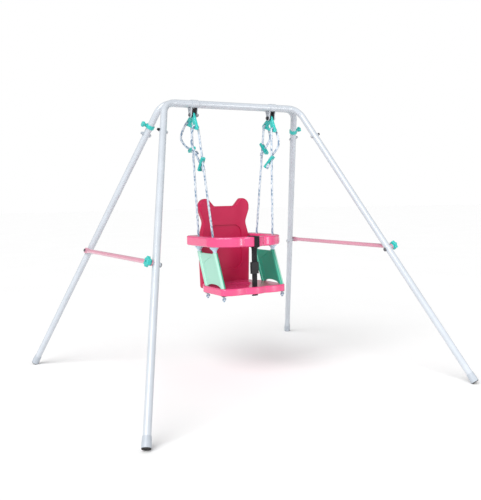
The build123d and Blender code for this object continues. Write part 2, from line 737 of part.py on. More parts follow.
def seat_screws():
    """Screws from behind the backrest into the base."""
    made = []
    y_axis = Vector(0, 1, 0)
    for x in SCREW_X:
        tip = Vector(x, BACK_FRONT_Y - 24, SCREW_Z)
        seat = BACK_REAR_Y - 4
        screw = cylinder(tip, y_axis, 2.5, seat - tip.Y)
        made.append(screw + cylinder(Vector(x, seat, SCREW_Z), y_axis, 5.0, 3.2))
    return made


def guide_path_points(side, end):
    """The stretch of the rope's route that the guide covers."""
    low, high = main_strand(end)
    foot = Vector(SEAT_ROPE_X, GUIDE_FOOT_Y[end], BASE_Z + 18)
    along = unit(low - foot)
    start = foot + along * ((BASE_TOP - 8 - foot.Z) / along.Z)
    return on_side(side, [start, low, main_at(end, RING_Z + 12)])


def rope_guide(side, end):
    """Tube from the base to the ring with a flared cup that the ring rests on."""
    points = guide_path_points(side, end)
    tube, path = swept(points, [GUIDE_BEND_R], GUIDE_R)
    top = points[-1]
    up = unit(points[2] - points[1])
    flare_length = 25.0
    rim = points[1] + up * ((RING_Z - points[1].Z) / up.Z)
    profile = [(GUIDE_R, -flare_length), (GUIDE_R + 1, -18), (GUIDE_R + 5.5, -11),
               (CUP_R - 1.5, -5), (CUP_R, 0)]
    plane = Plane(origin=rim, x_dir=unit(up.cross(Vector(0, 1, 0))), z_dir=up * -1)
    edge = Spline([(x, -y) for x, y in profile])
    lip = Polyline((CUP_R, 0), (CUP_R, -6), (0, -6), (0, flare_length), (GUIDE_R, flare_length))
    section = make_face([edge.edge(), *lip.edges()])
    side_plane = Plane(origin=rim, x_dir=plane.x_dir, z_dir=plane.x_dir.cross(plane.z_dir))
    flare = revolve(side_plane * section, axis=Axis(rim, up))
    guide = tube + flare
    bore, path = swept(points, [GUIDE_BEND_R], ROPE_CLEAR_R)
    guide -= bore
    guide -= Pos(rim.X, rim.Y, RING_Z - 0.3 + 30) * Box(100, 100, 60)
    guide -= Pos(rim.X, points[0].Y, BASE_TOP - 30) * Box(60, 60, 60)
    return guide


def side_panel(side):
    """Leaning plate with a sleeve round the front and the rear guide, arched below."""
    sx = SIDES[side]
    half = 4.5
    feet = GUIDE_FOOT_Y
    slope = GUIDE_LEAN / (GUIDE_BEND_Z - BASE_Z - 18)
    low_z, top_z = BASE_TOP + 2, GUIDE_BEND_Z - 4

    def y_at(end, z):
        return feet[end] + slope * (z - BASE_Z - 18)

    outline = Polyline((y_at("front", low_z), low_z), (y_at("front", top_z), top_z),
                       (y_at("rear", top_z), top_z), (y_at("rear", low_z), low_z), close=True)
    plane = yz_plane(sx * SEAT_ROPE_X - half)
    panel = extrude(plane * make_face(outline.edges()), 2 * half)
    arch = Pos((y_at("front", low_z) + y_at("rear", low_z)) / 2, low_z - 2) * Ellipse(56, 13)
    panel -= extrude(plane * arch, 2 * half)
    for end in ENDS:
        points = guide_path_points(side, end)
        points[0] -= unit(points[1] - points[0]) * 20
        sleeve, path = swept(points, [GUIDE_BEND_R], SLEEVE_R)
        middle_y = (points[0].Y + points[1].Y) / 2
        low, high = BASE_TOP + 0.5, top_z + 6
        panel += sleeve & Pos(points[0].X, middle_y, (low + high) / 2) * Box(60, 160, high - low)
        channel, path = swept(points, [GUIDE_BEND_R], GUIDE_R + 0.05)
        panel -= channel
    middle = [(y_at(end, 480)) for end in ENDS]
    recess = Pos(sum(middle) / 2, 480) * Rot(0, 0, -math.degrees(math.atan(slope)))
    pocket = recess * RectangleRounded(84, 92, 12)
    for x in (sx * SEAT_ROPE_X - half, sx * SEAT_ROPE_X + half - 1.2):
        panel -= extrude(yz_plane(x) * pocket, 1.2)
    return panel.solids().sort_by(SortBy.VOLUME)[-1]


# ---- crotch strap ----------------------------------------------------------------

SOCKET_Z = 474.0
SOCKET_HEIGHT = 36.0
PLUG_BODY = 13.0


def strap_loop():
    """Webbing loop round the front of the ring, with a tail down to the buckle."""
    gap, thick = 0.6, 1.8
    front, rear = -182 - gap, -128 + gap
    low, high = RING_Z - gap, RING_TOP + gap
    centre = Pos((front + rear) / 2, (low + high) / 2)
    outer = centre * RectangleRounded(rear - front + 2 * thick, high - low + 2 * thick, 6)
    inner = centre * RectangleRounded(rear - front, high - low, 4.5)
    plane = yz_plane(-STRAP_WIDTH / 2)
    loop = extrude(plane * (outer - inner), STRAP_WIDTH)
    tail_low = SOCKET_Z + SOCKET_HEIGHT - 6
    tail_top = low - thick / 2
    tail = Pos(STRAP_Y, (tail_low + tail_top) / 2) * Rectangle(3.2, tail_top - tail_low)
    return loop + extrude(plane * tail, STRAP_WIDTH)


def strap_tail():
    """Webbing from under the seat base up to the buckle's plug."""
    plane = yz_plane(-STRAP_WIDTH / 2)
    top = SOCKET_Z - PLUG_BODY + 4
    low = BASE_Z - 7
    web = Pos(STRAP_Y, (low + top) / 2) * Rectangle(3.2, top - low)
    tail = extrude(plane * web, STRAP_WIDTH)
    stop = Pos(0, STRAP_Y, BASE_Z - 5) * Box(STRAP_WIDTH + 8, 11, 7)
    return tail + stop


def buckle_socket():
    """Female half, on the loop's tail."""
    body = Pos(0, STRAP_Y, SOCKET_Z + SOCKET_HEIGHT / 2) * Box(38, 13, SOCKET_HEIGHT)
    body = fillet(body.edges().filter_by(Axis.Z), 4.0)
    body = fillet(body.faces().sort_by(Axis.Z)[-1].edges(), 2.0)
    body -= Pos(0, STRAP_Y, SOCKET_Z + 12) * Box(30, 7.6, 26)
    for sx in SIDES.values():
        body -= Pos(sx * 19, STRAP_Y, SOCKET_Z + 13) * Box(8, 7.6, 13)
    body -= Pos(0, STRAP_Y, SOCKET_Z + SOCKET_HEIGHT) * Box(STRAP_WIDTH + 0.4, 3.6, 14)
    return body


def buckle_plug():
    """Male half with two prongs and a guide pin, on the strap's tail."""
    body = Pos(0, STRAP_Y, SOCKET_Z - PLUG_BODY / 2 - 0.4) * Box(38, 11, PLUG_BODY)
    body = fillet(body.edges().filter_by(Axis.Z), 4.0)
    low = SOCKET_Z - 1.4
    for sx in SIDES.values():
        prong = Pos(sx * 11.5, STRAP_Y, low + 11) * Box(4.5, 6.2, 22)
        body += prong + Pos(sx * 12.6, STRAP_Y, low + 17) * Box(3.4, 6.2, 8)
    body += Pos(0, STRAP_Y, low + 10) * Box(3.5, 5, 20)
    return body - Pos(0, STRAP_Y, SOCKET_Z - PLUG_BODY) * Box(STRAP_WIDTH + 0.4, 3.6, 8.4)


# ---- assembly --------------------------------------------------------------------

def build_frame():
    for end, sy in ENDS.items():
        add(f"top_tube_{end}", top_tube(sy))
    for name, sx, sy in for_each_leg():
        add(f"leg_{name}", lower_leg(sx, sy))
        add(f"foot_cap_{name}", foot_cap(sx, sy))
    add("foot_pads", *[foot_pad(sx, sy) for name, sx, sy in for_each_leg()])
    joint_hardware()
    add("collar_studs", *[collar_parts(side, sx) for side, sx in SIDES.items()])
    for side, sx in SIDES.items():
        add(f"side_bar_{side}", side_bar(sx))
    side_bar_hardware()
    for side, sx in SIDES.items():
        add(f"hanger_bracket_{side}", hanger_bracket(sx))
    add("hanger_liners", *[block for sx in SIDES.values() for block in hanger_liners(sx)])
    add("pivot_bolts", *[pivot_bolt(sx) for sx in SIDES.values()])
    add("pivot_nuts", *[pivot_nut(sx) for sx in SIDES.values()])


def build_swing():
    corners = [(side, end) for side in SIDES for end in ENDS]
    knots = []
    for side, end in corners:
        knots += rope(side, end)
        add(f"adjuster_{end}_{side}", adjuster(side, end))
        add(f"rope_guide_{end}_{side}", rope_guide(side, end))
    add("rope_knots", *knots)
    add("seat_washers", *[seat_washer(*c) for c in corners])
    for side in SIDES:
        add(f"spreader_plate_{side}", spreader_plate(side))
        add(f"side_panel_{side}", side_panel(side))
    add("seat_base", seat_base())
    add("backrest", backrest())
    add("seat_screws", *seat_screws())
    add("strap_tail", strap_tail())
    add("buckle_plug", buckle_plug())
    add("safety_ring", safety_ring())
    add("strap_loop", strap_loop())
    add("buckle_socket", buckle_socket())


def main():
    build_frame()
    build_swing()
    os.makedirs("parts", exist_ok=True)
    for name, shape in NODES.items():
        export_step(shape, f"parts/{name}.step")
    print(len(NODES), "nodes")


main()
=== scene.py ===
import bpy
import json
import math
from mathutils import Matrix, Vector


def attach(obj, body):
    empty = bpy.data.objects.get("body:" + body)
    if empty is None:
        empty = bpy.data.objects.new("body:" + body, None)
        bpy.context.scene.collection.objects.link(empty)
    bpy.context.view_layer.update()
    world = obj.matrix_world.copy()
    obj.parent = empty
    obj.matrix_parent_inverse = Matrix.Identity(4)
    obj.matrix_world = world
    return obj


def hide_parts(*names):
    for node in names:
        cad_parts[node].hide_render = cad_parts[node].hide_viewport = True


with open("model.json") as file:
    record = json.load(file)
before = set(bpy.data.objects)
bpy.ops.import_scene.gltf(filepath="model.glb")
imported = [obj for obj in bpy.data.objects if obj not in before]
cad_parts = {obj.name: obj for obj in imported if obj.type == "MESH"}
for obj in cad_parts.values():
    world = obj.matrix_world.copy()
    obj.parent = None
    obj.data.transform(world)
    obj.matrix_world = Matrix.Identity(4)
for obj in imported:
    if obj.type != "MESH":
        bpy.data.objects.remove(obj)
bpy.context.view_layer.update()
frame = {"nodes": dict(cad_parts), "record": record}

MM = 0.001
SIDES = {"left": -1, "right": 1}
ENDS = {"front": -1, "rear": 1}

# ---- dimensions shared with part.py, in millimetres --------------------------------
HANGER_X = 192.5
PIVOT_Z = 1131.0
ROPE_R = 5.0
SPREADER_TILT = 16.0         # degrees, rear corner up
SPREADER_HOLE_Y = 33.0       # a rope hole's place from the pivot, before the tilt
SPREADER_HOLE_DROP = 38.0
ROPE_TURN = 10.4             # half the distance between a rope's two strands at the plate
ADJUSTER_PITCH = 24.0        # between its two holes
SEAT_ROPE_X = 143.0
GUIDE_LEAN = 72.0            # the guides' tops stand this much further back
GUIDE_FOOT_Y = {"front": -150.0, "rear": -4.0}
GUIDE_BEND_Z = 549.0
BASE_Z = 375.0               # underside of the seat base
GUIDE_FOOT_RISE = 18.0       # from there up to the rope's bend in the guide's foot
KNOT_DROP = 12.5             # from there down to the middle of the seat knot
RING_Z = 575.0
RING_TOP = 617.0
RING_FRONT_Y = -182.0        # outer and inner face of the ring's front bar
RING_INNER_Y = -128.0
STRAP_WIDTH = 25.0
STRAP_Y = -160.0
SLACK_END = 35.0             # the slack strand ends this far past its hole
KNOT_TAIL = 12.0             # from a knot's middle to its rope's end

# Bends of each slack strand between the spreader plate and its adjuster.
SLACK_ROUTES = {
    ("left", "front"): [(207, -14, 1050), (205, 0, 1005), (186, -16, 955)],
    ("left", "rear"): [(206, 78, 1074), (207, 103, 1040), (192, 86, 1006)],
    ("right", "front"): [(205, -36, 1050), (205, -50, 1005), (176.5, -11, 952)],
    ("right", "rear"): [(206, 36, 1072), (207, 26, 1045), (190.4, 27.1, 1016.6)],
}
# Height of the main strand's hole in each adjuster, and the way the adjuster hangs:
# from the main strand's hole to the slack strand's.
ADJUSTERS = {
    ("left", "front"): (940, (0, 0.58, -0.81)),
    ("left", "rear"): (994, (-0.20, 0.96, -0.15)),
    ("right", "front"): (950, (-0.31, 0.60, -0.74)),
    ("right", "rear"): (1012, (0, -0.70, -0.71)),
}


# ---- camera, light and floor ---------------------------------------------------------

CAMERA_PLACE = (-1.5347, -2.7420, 0.7916)   # metres, as fitted to the photograph
CAMERA_TURN = (-29.627, 4.385, -1.076)      # azimuth, elevation and roll, in degrees
CAMERA_LENS = 51.54                         # mm, for a sensor of CAMERA_SENSOR mm
CAMERA_SENSOR = 36
FLOOR_R = 40.0                              # metres
FLOOR_SIDES = 128


def add_camera():
    """The photograph's camera; roll turns it about its own line of sight."""
    azimuth, elevation, roll = (math.radians(a) for a in CAMERA_TURN)
    back = Vector((math.sin(azimuth) * math.cos(elevation),
                   -math.cos(azimuth) * math.cos(elevation), math.sin(elevation)))
    right = Vector((math.cos(azimuth), math.sin(azimuth), 0))
    up = back.cross(right)
    rolled_right = right * math.cos(roll) + up * math.sin(roll)
    rolled_up = up * math.cos(roll) - right * math.sin(roll)
    data = bpy.data.cameras.new("camera")
    data.lens = CAMERA_LENS
    data.sensor_width = CAMERA_SENSOR
    camera = bpy.data.objects.new("camera", data)
    turn = Matrix((rolled_right, rolled_up, back)).transposed().to_4x4()
    camera.matrix_world = Matrix.Translation(CAMERA_PLACE) @ turn
    bpy.context.collection.objects.link(camera)
    bpy.context.scene.camera = camera


def aim_light(data, towards, place=(0, 0, 0)):
    """Puts a light at a place so that it shines along a direction."""
    light = bpy.data.objects.new(data.name, data)
    turn = (-towards).to_track_quat("Z", "Y").to_matrix().to_4x4()
    light.matrix_world = Matrix.Translation(place) @ turn
    bpy.context.collection.objects.link(light)


def add_strip(place, target, width, height, power):
    """An upright strip light: glossy walls that face halfway to it carry a pale band."""
    data = bpy.data.lights.new("front_strip", "AREA")
    data.shape = "RECTANGLE"
    data.size = width
    data.size_y = height
    data.energy = power
    aim_light(data, Vector(target) - Vector(place), place)


def add_window(towards, spread, strength):
    """One far, wide, soft light, so the floor is lit evenly and the object from one side."""
    data = bpy.data.lights.new("window", "SUN")
    data.angle = math.radians(spread)
    data.energy = strength
    aim_light(data, Vector(towards))


def add_world(seen, ambient):
    """White all round: its strength where the camera sees it, and as a light."""
    world = bpy.data.worlds.new("studio")
    world.use_nodes = True
    tree = world.node_tree
    path = tree.nodes.new("ShaderNodeLightPath")
    strength = tree.nodes.new("ShaderNodeMapRange")
    strength.inputs["To Min"].default_value = ambient
    strength.inputs["To Max"].default_value = seen
    tree.links.new(path.outputs["Is Camera Ray"], strength.inputs["Value"])
    background = tree.nodes["Background"]
    background.inputs["Color"].default_value = (1, 1, 1, 1)
    tree.links.new(strength.outputs["Result"], background.inputs["Strength"])
    bpy.context.scene.world = world


def add_studio():
    """White surroundings, two lights and a pale floor."""
    add_world(seen=1.0, ambient=0.45)
    bpy.context.scene.view_settings.view_transform = "Standard"
    add_window(towards=(3.0, 2.2, -2.9), spread=50, strength=3.05)
    add_strip(place=(2.0, -3.4, 0.8), target=(0, -0.18, 0.6), width=0.7, height=1.6, power=24)
    floor = mesh_object("floor", *disc(FLOOR_R, FLOOR_SIDES))
    floor.data.materials.append(floor_material())


def disc(r, count):
    ring = [(r * math.cos(2 * math.pi * i / count), r * math.sin(2 * math.pi * i / count), 0)
            for i in range(count)]
    return ring, [list(range(count))]


# ---- materials -----------------------------------------------------------------------

class Nodes:
    """A material's node tree with short calls for the nodes used here."""

    def __init__(self, name):
        self.material = bpy.data.materials.new(name)
        self.material.use_nodes = True
        self.tree = self.material.node_tree
        self.shader = self.tree.nodes["Principled BSDF"]

    def set(self, **values):
        for name, value in values.items():
            self.shader.inputs[name.replace("_", " ")].default_value = value

    def link(self, source, node, socket):
        self.tree.links.new(source, node.inputs[socket])

    def to_shader(self, source, socket):
        self.link(source, self.shader, socket)

    def node(self, kind, **values):
        node = self.tree.nodes.new(kind)
        for name, value in values.items():
            setattr(node, name, value)
        return node

    def place(self):
        return self.node("ShaderNodeTexCoord").outputs["Object"]

    def split(self, vector):
        """The X, Y and Z of a vector."""
        node = self.node("ShaderNodeSeparateXYZ")
        self.link(vector, node, "Vector")
        return node.outputs

    def uv(self, name):
        """Across and along of a piece's own map."""
        return self.split(self.node("ShaderNodeUVMap", uv_map=name).outputs["UV"])

    def noise(self, scale, detail=3.0, rough=0.5, distortion=0.0):
        node = self.node("ShaderNodeTexNoise")
        node.inputs["Scale"].default_value = scale
        node.inputs["Detail"].default_value = detail
        node.inputs["Roughness"].default_value = rough
        node.inputs["Distortion"].default_value = distortion
        self.link(self.place(), node, "Vector")
        return node.outputs["Fac"]

    def ramp(self, source, *stops, interpolation="LINEAR"):
        node = self.node("ShaderNodeValToRGB")
        ramp = node.color_ramp
        ramp.interpolation = interpolation
        while len(ramp.elements) < len(stops):
            ramp.elements.new(0.5)
        for element, (at, colour) in zip(ramp.elements, stops):
            element.position = at
            element.color = (*colour, 1) if hasattr(colour, "__len__") else (colour,) * 3 + (1,)
        self.link(source, node, "Fac")
        return node.outputs["Color"]

    def math(self, operation, a, b=0.5):
        node = self.node("ShaderNodeMath", operation=operation)
        for value, socket in ((a, 0), (b, 1)):
            if isinstance(value, (int, float)):
                node.inputs[socket].default_value = value
            else:
                self.tree.links.new(value, node.inputs[socket])
        return node.outputs["Value"]

    def bump(self, height, distance, strength, after=None):
        node = self.node("ShaderNodeBump")
        node.inputs["Distance"].default_value = distance
        node.inputs["Strength"].default_value = strength
        self.link(height, node, "Height")
        if after:
            self.link(after, node, "Normal")
        self.to_shader(node.outputs["Normal"], "Normal")
        return node.outputs["Normal"]


def shade(colour, factor):
    return tuple(min(1.0, c * factor) for c in colour)


def floor_material():
    n = Nodes("floor")
    n.to_shader(n.ramp(n.noise(1.5), (0.3, (0.97, 0.97, 0.97)), (0.7, (0.985, 0.985, 0.985))),
                "Base Color")
    n.set(Roughness=0.9)
    return n.material


def powder_coat(name, colour, rough=0.3):
    """Glossy sprayed paint: fine orange peel, slight colour drift and a few duller patches."""
    n = Nodes(name)
    n.to_shader(n.ramp(n.noise(14), (0.3, shade(colour, 0.95)), (0.7, shade(colour, 1.03))),
                "Base Color")
    n.to_shader(n.ramp(n.noise(60, 5, 0.7, distortion=1.2), (0.45, rough), (0.75, rough + 0.1)),
                "Roughness")
    n.bump(n.noise(900, 2), 0.00003, 0.12)
    n.set(Coat_Weight=0.8, Coat_Roughness=0.16)
    return n.material


def moulded(name, colour, rough=0.3, grain=0.4, scatter=0.0, gloss=0.0, shine=0.5):
    """Moulded plastic: slight colour drift, spark-eroded grain, rubbed patches."""
    n = Nodes(name)
    n.to_shader(n.ramp(n.noise(18, 4), (0.3, shade(colour, 0.96)), (0.72, shade(colour, 1.03))),
                "Base Color")
    moulded_surface(n, rough, grain)
    n.set(Coat_Weight=gloss, Coat_Roughness=0.18, Specular_IOR_Level=shine)
    if scatter:
        n.set(Subsurface_Weight=scatter, Subsurface_Scale=0.004,
              Subsurface_Radius=(1.0, 0.5, 0.6))
    return n.material


def moulded_surface(n, rough, grain):
    n.to_shader(n.ramp(n.noise(75, 6, 0.65), (0.4, rough), (0.72, rough + 0.07)), "Roughness")
    fine = n.bump(n.noise(1400, 2, 0.6), 0.00005, grain)
    n.bump(n.noise(30, 3), 0.0006, 0.03, after=fine)
    n.set(IOR=1.5)


def painted_shade_and_light(name, inner, outer, rough=0.34):
    """Plastic with painted shade on its inner face and painted light on its outer face: the
    colour changes over 1 mm at the panel's middle.
    """
    n = Nodes(name)
    across = n.math("ABSOLUTE", n.split(n.place())["X"])
    blend = n.math("MULTIPLY", n.math("SUBTRACT", across, (SEAT_ROPE_X - 1) * MM), 1 / MM)
    grain = n.math("MULTIPLY", n.math("SUBTRACT", n.noise(40, 4), 0.5), 0.25)
    n.to_shader(n.ramp(n.math("ADD", blend, grain), (0.0, inner), (1.0, outer)), "Base Color")
    moulded_surface(n, rough, 0.5)
    return n.material


def steel(name, colour, rough=0.36):
    n = Nodes(name)
    n.to_shader(n.ramp(n.noise(90, 5), (0.35, shade(colour, 0.75)), (0.7, shade(colour, 1.15))),
                "Base Color")
    n.to_shader(n.ramp(n.noise(260, 4), (0.3, rough), (0.7, rough + 0.2)), "Roughness")
    n.bump(n.noise(700, 3), 0.00005, 0.5)
    n.set(Metallic=1.0)
    return n.material


def rubber(name, colour):
    n = Nodes(name)
    n.to_shader(n.ramp(n.noise(120, 6, 0.7), (0.4, colour), (0.8, (0.05, 0.045, 0.04))),
                "Base Color")
    n.to_shader(n.ramp(n.noise(200, 4), (0.3, 0.65), (0.7, 0.9)), "Roughness")
    n.bump(n.noise(800, 3), 0.0002, 0.6)
    return n.material


YARNS_PER_STRAND = 4
RIB_PITCH = 1.5             # mm between the webbing's cross ribs
YARN_PITCH = 1.1            # mm between its lengthwise yarns


def crossing_number(n, braid):
    """A random number for each strand crossing, from the rope's braid map."""
    cell = n.node("ShaderNodeCombineXYZ")
    for axis in ("X", "Y"):
        n.link(n.math("FLOOR", braid[axis]), cell, axis)
    random = n.node("ShaderNodeTexWhiteNoise", noise_dimensions="2D")
    n.link(cell.outputs["Vector"], random, "Vector")
    return random.outputs["Value"]


def rope_material():
    """Pale blue-grey braid with white and blue flecks, and fine yarns along each strand."""
    n = Nodes("rope")
    braid = n.uv("braid")
    fleck = crossing_number(n, braid)
    colour = n.ramp(fleck, (0.0, (0.60, 0.66, 0.74)), (0.42, (0.42, 0.52, 0.63)),
                    (0.66, (0.72, 0.77, 0.82)), (0.80, (0.17, 0.27, 0.40)),
                    interpolation="CONSTANT")
    dirt = n.ramp(n.noise(260, 4), (0.3, 0.86), (0.7, 1.0))
    mix = n.node("ShaderNodeMix", data_type="RGBA", blend_type="MULTIPLY")
    mix.inputs["Factor"].default_value = 1.0
    n.link(colour, mix, "A")
    n.link(dirt, mix, "B")
    n.to_shader(mix.outputs["Result"], "Base Color")
    yarn = n.math("SINE", n.math("MULTIPLY", braid["X"], 2 * math.pi * YARNS_PER_STRAND))
    n.bump(yarn, 0.00016, 0.8)
    n.set(Roughness=0.82, Sheen_Weight=0.3, Sheen_Roughness=0.5)
    return n.material


def webbing_material():
    """Black ribbed webbing: cross ribs and lengthwise yarns from the strap's map."""
    n = Nodes("webbing")
    weave = n.uv("weave")
    rib = n.math("SINE", n.math("MULTIPLY", weave["Y"], 2 * math.pi / RIB_PITCH))
    yarn = n.math("SINE", n.math("MULTIPLY", weave["X"], 2 * math.pi / YARN_PITCH))
    height = n.math("ADD", rib, n.math("MULTIPLY", yarn, 0.6))
    n.bump(height, 0.00018, 0.9)
    # the colour follows the weave's height: darker in the valleys between ribs and yarns, as
    # painted shade
    n.to_shader(n.ramp(height, (0.0, (0.006, 0.006, 0.008)), (1.0, (0.022, 0.022, 0.028))),
                "Base Color")
    n.set(Roughness=0.75, Sheen_Weight=0.08, Specular_IOR_Level=0.25)
    return n.material


def thread_material():
    n = Nodes("thread")
    n.to_shader(n.ramp(n.noise(2500, 2), (0.3, (0.03, 0.03, 0.035)), (0.7, (0.09, 0.09, 0.1))),
                "Base Color")
    n.set(Roughness=0.6)
    return n.material


def make_materials():
    return {
        "white_paint": powder_coat("white_paint", (0.53, 0.57, 0.62)),
        "pink_paint": powder_coat("pink_paint", (0.66, 0.28, 0.38)),
        "dark_steel": steel("dark_steel", (0.22, 0.22, 0.24)),
        "bright_steel": steel("bright_steel", (0.62, 0.62, 0.65), 0.3),
        "white_plastic": moulded("white_plastic", (0.44, 0.48, 0.53), 0.34),
        "black_plastic": moulded("black_plastic", (0.010, 0.010, 0.013), 0.42, shine=0.3),
        "black_rubber": rubber("black_rubber", (0.008, 0.008, 0.009)),
        "teal_plastic": moulded("teal_plastic", (0.025, 0.50, 0.46), 0.24, gloss=0.5),
        "blue_plastic": moulded("blue_plastic", (0.52, 0.68, 0.80), 0.28, scatter=0.15),
        # the mint panels: the dark inner colour is painted shade, the pale outer colour is
        # painted light
        "mint_plastic": painted_shade_and_light("mint_plastic", (0.02, 0.34, 0.22), (0.34, 0.63, 0.51)),
        "pink_plastic": moulded("pink_plastic", (0.76, 0.06, 0.21), 0.22, grain=0.2, gloss=0.8),
        # a darker copy of the pink plastic for the backrest: painted shade
        "painted_shade_pink_plastic": moulded("painted_shade_pink_plastic", (0.50, 0.010, 0.07), 0.42, shine=0.25),
        "rope": rope_material(),
        "webbing": webbing_material(),
        "thread": thread_material(),
    }


# The backrest takes the darker pink as painted shade, in place of its slot's own pink.
PAINTED_SHADE_FINISHES = {"backrest": "painted_shade_pink_plastic"}


def dress_cad_nodes(materials):
    """Give every CAD node the material of its slot in the record, or a darker copy of it as
    painted shade.
    """
    for entry in frame["record"]["subparts"]:
        node = frame["nodes"][entry["node"]]
        node.data.materials.clear()
        finish = PAINTED_SHADE_FINISHES.get(entry["node"], entry["material_slot"])
        node.data.materials.append(materials[finish])


# ---- mesh helpers --------------------------------------------------------------------

def mesh_object(name, points, faces):
    mesh = bpy.data.meshes.new(name)
    mesh.from_pydata([tuple(p) for p in points], [], faces)
    mesh.update()
    made = bpy.data.objects.new(name, mesh)
    bpy.context.collection.objects.link(made)
    return made


def piece(name, points, faces, material, body):
    """A new smooth piece, from points in mm, that rides on a body and has the given material.
    """
    made = mesh_object(name, [Vector(p) * MM for p in points], faces)
    made.data.polygons.foreach_set("use_smooth", [True] * len(faces))
    made.data.materials.append(material)
    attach(made, body)
    return made


def smooth_line(points, rounds=3):
    """Chaikin corner cutting: an even, rounded line that keeps its two ends."""
    for _ in range(rounds):
        cut = [points[0]]
        for a, b in zip(points, points[1:]):
            cut += [a.lerp(b, 0.25), a.lerp(b, 0.75)]
        points = cut + [points[-1]]
    return points


def nurbs_line(points):
    """Points along the order-3 NURBS line that has these control points."""
    data = bpy.data.curves.new("route", "CURVE")
    data.dimensions = "3D"
    data.resolution_u = 24
    spline = data.splines.new("NURBS")
    spline.points.add(len(points) - 1)
    for target, p in zip(spline.points, points):
        target.co = (*p, 1)
    spline.order_u = 3
    spline.use_endpoint_u = True
    made = bpy.data.objects.new("route", data)
    bpy.context.collection.objects.link(made)
    mesh = bpy.data.meshes.new_from_object(made)
    line = [v.co.copy() for v in mesh.vertices]
    bpy.data.objects.remove(made)
    bpy.data.curves.remove(data)
    bpy.data.meshes.remove(mesh)
    return line


def resampled(line, step):
    """Evenly spaced points along a line of points, and the line's length."""
    lengths = [(b - a).length for a, b in zip(line, line[1:])]
    total = sum(lengths)
    count = max(2, round(total / step))
    out, i, walked = [], 0, 0.0
    for k in range(count + 1):
        target = total * k / count
        while i < len(lengths) - 1 and walked + lengths[i] < target:
            walked += lengths[i]
            i += 1
        share = (target - walked) / lengths[i] if lengths[i] else 0
        out.append(line[i].lerp(line[i + 1], min(1, max(0, share))))
    return out, total


def frames_along(line):
    """A sideways and an upward unit vector at each point, with no sudden twist."""
    tangents = [(line[min(i + 1, len(line) - 1)] - line[max(i - 1, 0)]).normalized()
                for i in range(len(line))]
    side = tangents[0].orthogonal().normalized()
    frames = []
    for t in tangents:
        side = (side - t * side.dot(t)).normalized()
        frames.append((side, t.cross(side)))
    return frames


def tube_mesh(line, radius_at, around):
    """Vertices and faces of a closed tube; radius_at(i, j) gives each vertex's radius."""
    points, faces = [], []
    for i, (centre, (side, up)) in enumerate(zip(line, frames_along(line))):
        for j in range(around):
            angle = 2 * math.pi * j / around
            out = side * math.cos(angle) + up * math.sin(angle)
            points.append(centre + out * radius_at(i, j))
    for i in range(len(line) - 1):
        for j in range(around):
            a, b = i * around + j, i * around + (j + 1) % around
            faces.append([a, b, b + around, a + around])
    faces.append(list(range(around))[::-1])
    faces.append([(len(line) - 1) * around + j for j in range(around)])
    return points, faces


# ---- ropes ---------------------------------------------------------------------------

BRAID_AROUND = 4            # strand crossings round the rope
BRAID_PITCH = 13.0          # mm along the rope for one strand crossing
BRAID_RELIEF = 0.5          # mm from the bottom of the braid's valleys to its crowns
VALLEY_SHARE = 0.6          # of that relief, from the gaps between strands
CROWN_SHARE = 0.4           # and from the rounding of each strand
TIP_SHARE = 0.55            # of the rope's radius, at its very ends
TIP_GAIN = 0.15             # added at each ring further in, until the radius is full
ROPE_STEP = 0.9             # mm between the rings of the rope's mesh
ROPE_SEGMENTS = 24
KNOT_SIZE = {"seat": 2.0, "slack": 1.8}       # a third of a knot's reach from its middle
KNOT_ROPE_R = {"seat": 3.8, "slack": 3.4}     # the rope's radius where the knot pulls it tight
KNOT_DEPTH = 1.25           # sizes that a knot's line goes up and down from its middle
KNOT_POINTS = 90

# How far from a bend or a hole the rope's next control points are, in mm.
FOOT_REACH = 17.0
GUIDE_REACH = 19.0
PLATE_REACH = 18.0
SLACK_REACH = 14.0
HOLE_REACH = 12.0


def spreader_hole(sy):
    """Middle of a rope hole in the tilted spreader plate, as (y, z)."""
    tilt = math.radians(SPREADER_TILT)
    y, z = sy * SPREADER_HOLE_Y, -SPREADER_HOLE_DROP
    return (y * math.cos(tilt) - z * math.sin(tilt),
            PIVOT_Z + y * math.sin(tilt) + z * math.cos(tilt))


def main_strand(end):
    """Lower and upper point of the taut strand between guide and spreader plate."""
    y, z = spreader_hole(ENDS[end])
    low = Vector((SEAT_ROPE_X, GUIDE_FOOT_Y[end] + GUIDE_LEAN, GUIDE_BEND_Z))
    return low, Vector((HANGER_X - ROPE_TURN, y, z))


def main_at(end, z):
    """The taut strand's point at height z."""
    low, high = main_strand(end)
    return low + (high - low) * ((z - low.z) / (high.z - low.z))


def slack_hole(side, end):
    """Where the slack strand passes its adjuster, and its direction there."""
    z, direction = ADJUSTERS[side, end]
    hole = main_at(end, z) + Vector(direction).normalized() * ADJUSTER_PITCH
    return hole, (hole - Vector(SLACK_ROUTES[side, end][-1])).normalized()


def rope_route(side, end):
    """Control points of a rope, from the knot under the seat to the slack end."""
    low, high = main_strand(end)
    hole, along = slack_hole(side, end)
    foot = Vector((SEAT_ROPE_X, GUIDE_FOOT_Y[end], BASE_Z + GUIDE_FOOT_RISE))
    start = Vector((foot.x, foot.y, BASE_Z - KNOT_DROP - KNOT_TAIL))
    lean, rise = (low - foot).normalized(), (high - low).normalized()
    over = high + Vector((2 * ROPE_TURN, 0, 0))
    slack = [Vector(p) for p in SLACK_ROUTES[side, end]]
    points = [start, foot - Vector((0, 0, FOOT_REACH)), foot, foot + lean * FOOT_REACH,
              low - lean * GUIDE_REACH, low, low + rise * GUIDE_REACH,
              high - rise * PLATE_REACH, high, over,
              over + (slack[0] - over).normalized() * SLACK_REACH]
    points += slack + [hole - along * HOLE_REACH, hole, hole + along * SLACK_END]
    sx = SIDES[side]
    return [Vector((sx * p.x, p.y, p.z)) for p in points]


